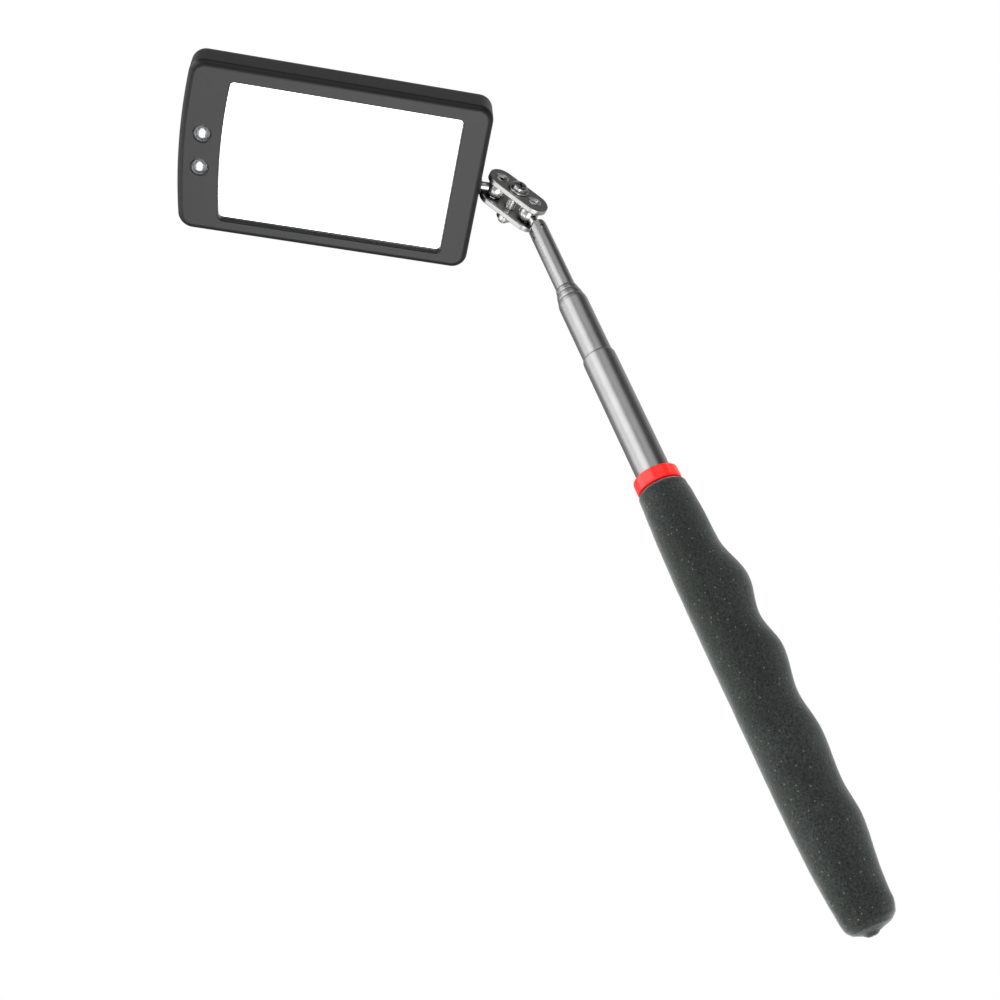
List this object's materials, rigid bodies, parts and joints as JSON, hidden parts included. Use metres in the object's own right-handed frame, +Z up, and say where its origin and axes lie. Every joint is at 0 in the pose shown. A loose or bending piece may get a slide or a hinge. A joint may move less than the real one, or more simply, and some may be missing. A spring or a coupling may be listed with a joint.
{
  "type": "telescoping inspection mirror",
  "caption": "Hand-held inspection mirror: telescoping steel shaft, foam grip with finger bumps, double-ball swivel and a lighted rectangular mirror head.",
  "frame": {"origin": "tip of the grip's butt, on the axis of the shaft", "axes": "+X along the shaft towards the mirror, +Z up with the tool lying down, finger bumps towards -Y"},
  "size_m": [0.2761, 0.103, 0.0773],
  "materials": {
    "tube_steel": "satin",
    "bright_steel": "polished",
    "foam": "matt closed-cell foam",
    "collar": "gloss",
    "shell": "satin",
    "mirror": "silvered",
    "lamp": "clear",
    "board": "satin",
    "bronze": "satin",
    "red_wire": "gloss",
    "black_wire": "gloss"
  },
  "bodies": {
    "handle": {"outer_tube": "tube_steel", "foam_grip": "foam", "red_collar": "collar", "end_plug": "bright_steel"},
    "clip_2": {"clip_2": "bronze"},
    "tube_2": {"tube_2": "tube_steel"},
    "clip_3": {"clip_3": "bronze"},
    "tube_3": {"tube_3": "tube_steel"},
    "clip_4": {"clip_4": "bronze"},
    "tube_4": {"tube_4": "tube_steel"},
    "clip_5": {"clip_5": "bronze"},
    "tube_5": {"tube_5": "tube_steel", "fork_plug": "bright_steel", "fork_pin": "bright_steel"},
    "stud": {"fork_stud": "bright_steel"},
    "first_ball": {"ball_1": "bright_steel"},
    "clamp": {"clamp_plate_upper": "bright_steel", "clamp_plate_lower": "bright_steel", "clamp_washer": "bright_steel", "clamp_screw": "bright_steel", "clamp_nut": "bright_steel"},
    "second_ball": {"ball_2": "bright_steel"},
    "head": {"front_bezel": "shell", "rear_cover": "shell", "mirror_glass": "mirror", "mirror_pad": "foam", "battery_tray": "shell", "coin_cell_1": "bright_steel", "coin_cell_2": "bright_steel", "contact_upper": "bronze", "contact_side": "bronze", "led_board": "board", "led_upper": "lamp", "led_lower": "lamp", "switch_body": "shell", "head_stem": "bright_steel", "stem_nut": "bright_steel", "wire_positive": "red_wire", "wire_negative": "black_wire", "wire_switch": "black_wire", "cover_screw_1": "bright_steel", "cover_screw_2": "bright_steel", "cover_screw_3": "bright_steel", "cover_screw_4": "bright_steel"},
    "battery_door": {"battery_door": "shell"},
    "switch_knob": {"switch_knob": "shell"}
  },
  "joints": [
    {"name": "tube_2_slide", "type": "slide", "parent": "handle", "child": "clip_2", "axis": [1, 0, 0], "range_m": [-0.019, 0.124]},
    {"name": "tube_2_spin", "type": "hinge", "parent": "clip_2", "child": "tube_2", "pos_m": [0, 0, 0], "axis": [1, 0, 0], "continuous": true},
    {"name": "tube_3_slide", "type": "slide", "parent": "tube_2", "child": "clip_3", "axis": [1, 0, 0], "range_m": [0, 0.143]},
    {"name": "tube_3_spin", "type": "hinge", "parent": "clip_3", "child": "tube_3", "pos_m": [0, 0, 0], "axis": [1, 0, 0], "continuous": true},
    {"name": "tube_4_slide", "type": "slide", "parent": "tube_3", "child": "clip_4", "axis": [1, 0, 0], "range_m": [0, 0.143]},
    {"name": "tube_4_spin", "type": "hinge", "parent": "clip_4", "child": "tube_4", "pos_m": [0, 0, 0], "axis": [1, 0, 0], "continuous": true},
    {"name": "tube_5_slide", "type": "slide", "parent": "tube_4", "child": "clip_5", "axis": [1, 0, 0], "range_m": [-0.01, 0.131]},
    {"name": "tube_5_spin", "type": "hinge", "parent": "clip_5", "child": "tube_5", "pos_m": [0, 0, 0], "axis": [1, 0, 0], "continuous": true},
    {"name": "fork_tilt", "type": "hinge", "parent": "tube_5", "child": "stud", "pos_m": [0.2123, 0, 0], "axis": [0, -0.5592, 0.829], "range_deg": [-93.1, 86.9]},
    {"name": "first_ball_roll", "type": "hinge", "parent": "stud", "child": "first_ball", "pos_m": [0.22039, 0.00036, 0.00024], "axis": [0.9985, 0.0448, 0.0302], "continuous": true},
    {"name": "clamp_swing", "type": "hinge", "parent": "first_ball", "child": "clamp", "pos_m": [0.22039, 0.00036, 0.00024], "axis": [0.1011, -0.701, 0.706], "range_deg": [-115, 58]},
    {"name": "head_swing", "type": "hinge", "parent": "clamp", "child": "second_ball", "pos_m": [0.23027, 0.00559, 0.00402], "axis": [-0.1011, 0.701, -0.706], "range_deg": [-50, 115]},
    {"name": "head_roll", "type": "hinge", "parent": "second_ball", "child": "head", "pos_m": [0.23027, 0.00559, 0.00402], "axis": [0.3766, 0.8129, 0.4442], "continuous": true},
    {"name": "battery_door_slide", "type": "slide", "parent": "head", "child": "battery_door", "axis": [-0.3349, 0.5666, -0.7529], "range_m": [0, 0.03]},
    {"name": "light_switch", "type": "slide", "parent": "head", "child": "switch_knob", "axis": [-0.3349, 0.5666, -0.7529], "range_m": [0, 0.0025]}
  ]
}
